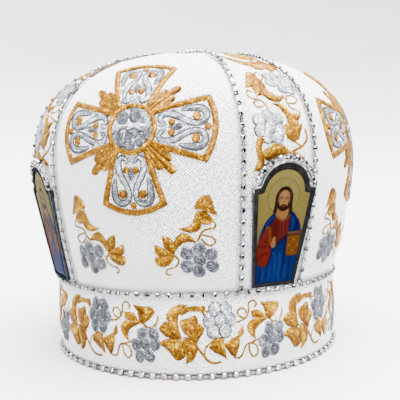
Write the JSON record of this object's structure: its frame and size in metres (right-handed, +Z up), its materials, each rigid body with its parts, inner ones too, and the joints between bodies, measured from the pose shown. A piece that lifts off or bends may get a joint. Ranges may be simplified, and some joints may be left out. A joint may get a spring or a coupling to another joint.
{
  "type": "bishop mitre",
  "caption": "Domed bishop's mitre of white cloth with a straight band, arched icon plaques and chains of set stones.",
  "frame": {"origin": "centre of the rim's underside, on the surface that the mitre stands on", "axes": "+Z up along the mitre's axis, -Y towards the front icon, +X to the right as seen from the front"},
  "size_m": [0.2352, 0.2352, 0.2042],
  "materials": {
    "cloth": "white satin-weave cloth over a stiffener",
    "gold_thread": "satin-stitched gold thread",
    "silver_thread": "satin-stitched silver thread",
    "frame_metal": "dark polished metal",
    "picture": "glossy printed plate",
    "silver_stones": "silver cups",
    "stones": "cut clear stones"
  },
  "bodies": {
    "root": {"band": "cloth", "cross_panel_front_right": "cloth", "cross_panel_back_right": "cloth", "cross_panel_back_left": "cloth", "cross_panel_front_left": "cloth", "icon_panel_front": "cloth", "icon_panel_right": "cloth", "icon_panel_back": "cloth", "icon_panel_left": "cloth", "icon_frame_front": "frame_metal", "icon_frame_right": "frame_metal", "icon_frame_back": "frame_metal", "icon_frame_left": "frame_metal", "icon_plate_front": "picture", "icon_plate_right": "picture", "icon_plate_back": "picture", "icon_plate_left": "picture", "arch_chain_front": "silver_stones", "arch_chain_right": "silver_stones", "arch_chain_back": "silver_stones", "arch_chain_left": "silver_stones", "rim_chain": "silver_stones", "seam_chain": "silver_stones", "panel_chain_front_right": "silver_stones", "panel_chain_back_right": "silver_stones", "panel_chain_back_left": "silver_stones", "panel_chain_front_left": "silver_stones"}
  },
  "joints": []
}
